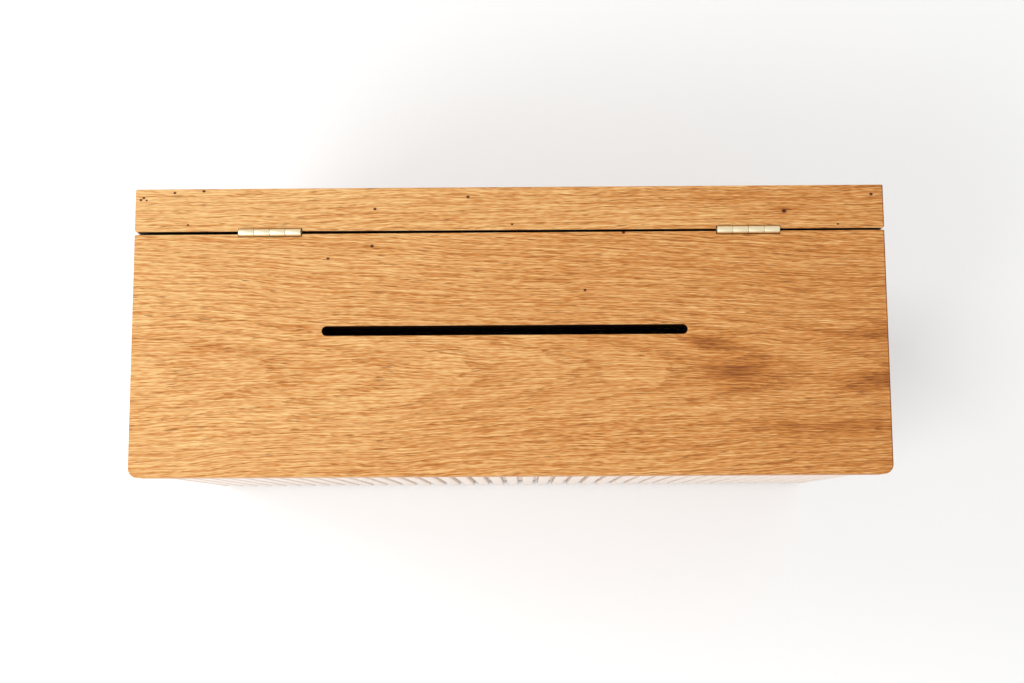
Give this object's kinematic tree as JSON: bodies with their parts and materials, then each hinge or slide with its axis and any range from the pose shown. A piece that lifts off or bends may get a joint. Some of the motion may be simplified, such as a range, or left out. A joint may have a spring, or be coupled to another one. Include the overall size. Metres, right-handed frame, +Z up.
{
  "type": "slotted drop box",
  "caption": "Table-top drop box for cards and letters: an oak lid with a long thin slot, hinged to a fixed oak rail, on a painted body with a vertically ribbed front.",
  "frame": {"origin": "centre of the footprint, on the table, under the felt pads", "axes": "+Z up; the ribbed front faces -Y, so someone looking at the front looks along +Y and has +X on their right"},
  "size_m": [0.48, 0.185, 0.2929],
  "materials": {
    "oak": "oiled",
    "painted_wood": "satin paint",
    "bare_board": "bare board",
    "softwood": "planed",
    "steel": "zinc plated",
    "brass": "polished",
    "felt": "felt"
  },
  "bodies": {
    "box": {"rear_top_rail": "oak", "front_rib_slats": "painted_wood", "front_panel": "painted_wood", "left_side_panel": "painted_wood", "right_side_panel": "painted_wood", "back_panel": "painted_wood", "base_panel": "bare_board", "base_battens": "softwood", "rail_cleat": "softwood", "panel_pins": "steel", "base_screws": "steel", "cleat_screws": "steel", "rail_screws": "steel", "left_hinge_pin": "steel", "right_hinge_pin": "steel", "rail_hinge_screws": "brass", "left_hinge_rail_leaf": "brass", "right_hinge_rail_leaf": "brass", "foot_pads": "felt"},
    "lid": {"lid_board": "oak", "left_hinge_lid_leaf": "brass", "right_hinge_lid_leaf": "brass", "lid_hinge_screws": "brass"}
  },
  "joints": [
    {"name": "lid_hinge", "type": "hinge", "parent": "box", "child": "lid", "pos_m": [0, 0.0635, 0.2905], "axis": [-1, 0, 0], "range_deg": [0, 180]}
  ]
}
